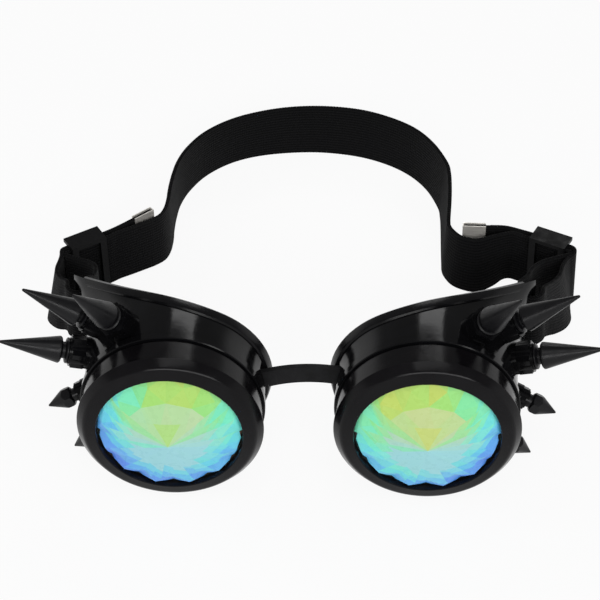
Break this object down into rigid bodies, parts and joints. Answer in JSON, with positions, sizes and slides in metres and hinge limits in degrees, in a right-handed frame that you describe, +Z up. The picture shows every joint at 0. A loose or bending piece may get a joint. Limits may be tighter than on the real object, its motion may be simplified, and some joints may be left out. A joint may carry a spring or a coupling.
{
  "type": "faceted-lens spiked goggles",
  "caption": "Round-cup goggles with faceted kaleidoscope lenses in screw-on rings, spiked cup sides, a rubber nose strip and an adjustable elastic headband.",
  "frame": {"origin": "centre of the bounding box on the table plane, under the middle of the goggles", "axes": "+X across the face towards the cup on the viewer's right, +Y from the lenses back towards the head, +Z up"},
  "size_m": [0.211, 0.2104, 0.088],
  "materials": {
    "shell": "gloss",
    "piping": "satin",
    "lens": "gloss",
    "gasket": "matte",
    "spike": "satin",
    "cap": "gloss",
    "screw": "satin",
    "strip": "satin",
    "elastic": "matte",
    "slider": "satin",
    "tip": "gloss"
  },
  "bodies": {
    "strap": {"nose_bridge": "strip", "headband": "elastic", "left_strap_end": "elastic", "right_strap_end": "elastic", "left_strap_tip": "tip", "right_strap_tip": "tip"},
    "left_cup": {"left_eyecup": "shell", "left_rim_piping": "piping", "left_upper_spike": "spike", "left_middle_spike": "spike", "left_side_spike": "spike", "left_outer_stud": "spike", "left_lower_stud": "spike", "left_vent_caps": "cap", "left_spike_screws": "screw"},
    "left_glass": {"left_lens": "lens", "left_lens_gasket": "gasket"},
    "left_ring": {"left_lens_ring": "shell"},
    "left_adjuster": {"left_slider": "slider"},
    "right_cup": {"right_eyecup": "shell", "right_rim_piping": "piping", "right_upper_spike": "spike", "right_middle_spike": "spike", "right_side_spike": "spike", "right_outer_stud": "spike", "right_lower_stud": "spike", "right_vent_caps": "cap", "right_spike_screws": "screw"},
    "right_glass": {"right_lens": "lens", "right_lens_gasket": "gasket"},
    "right_ring": {"right_lens_ring": "shell"},
    "right_adjuster": {"right_slider": "slider"}
  },
  "joints": [
    {"name": "left_toe", "type": "hinge", "parent": "strap", "child": "left_cup", "pos_m": [-0.01884, -0.0737, 0.0372], "axis": [0, 0, 1], "range_deg": [-6, 6], "stiffness_Nm_per_rad": 0.15, "deforming": ["left_strap_end"]},
    {"name": "left_lens_out", "type": "slide", "parent": "left_cup", "child": "left_glass", "axis": [0, -1, 0], "range_m": [0, 0.006]},
    {"name": "left_ring_turn", "type": "hinge", "parent": "left_glass", "child": "left_ring", "pos_m": [-0.0445, -0.0947, 0.0325], "axis": [0, -1, 0], "range_deg": [0, 1080]},
    {"name": "left_adjust", "type": "slide", "parent": "strap", "child": "left_adjuster", "axis": [0.8387, 0.5446, 0], "range_m": [0, 0.012], "deforming": ["left_strap_end"]},
    {"name": "right_toe", "type": "hinge", "parent": "strap", "child": "right_cup", "pos_m": [0.01884, -0.0737, 0.0372], "axis": [0, 0, 1], "range_deg": [-6, 6], "stiffness_Nm_per_rad": 0.15, "deforming": ["right_strap_end"]},
    {"name": "right_lens_out", "type": "slide", "parent": "right_cup", "child": "right_glass", "axis": [0, -1, 0], "range_m": [0, 0.006]},
    {"name": "right_ring_turn", "type": "hinge", "parent": "right_glass", "child": "right_ring", "pos_m": [0.0445, -0.0947, 0.0325], "axis": [0, -1, 0], "range_deg": [0, 1080]},
    {"name": "right_adjust", "type": "slide", "parent": "strap", "child": "right_adjuster", "axis": [-0.891, 0.454, 0], "range_m": [0, 0.008], "deforming": ["right_strap_end"]}
  ],
  "couplings": [
    {"joint": "left_ring_turn", "follows": "left_lens_out", "rad_per_m": 3141.6},
    {"joint": "right_ring_turn", "follows": "right_lens_out", "rad_per_m": 3141.6}
  ]
}
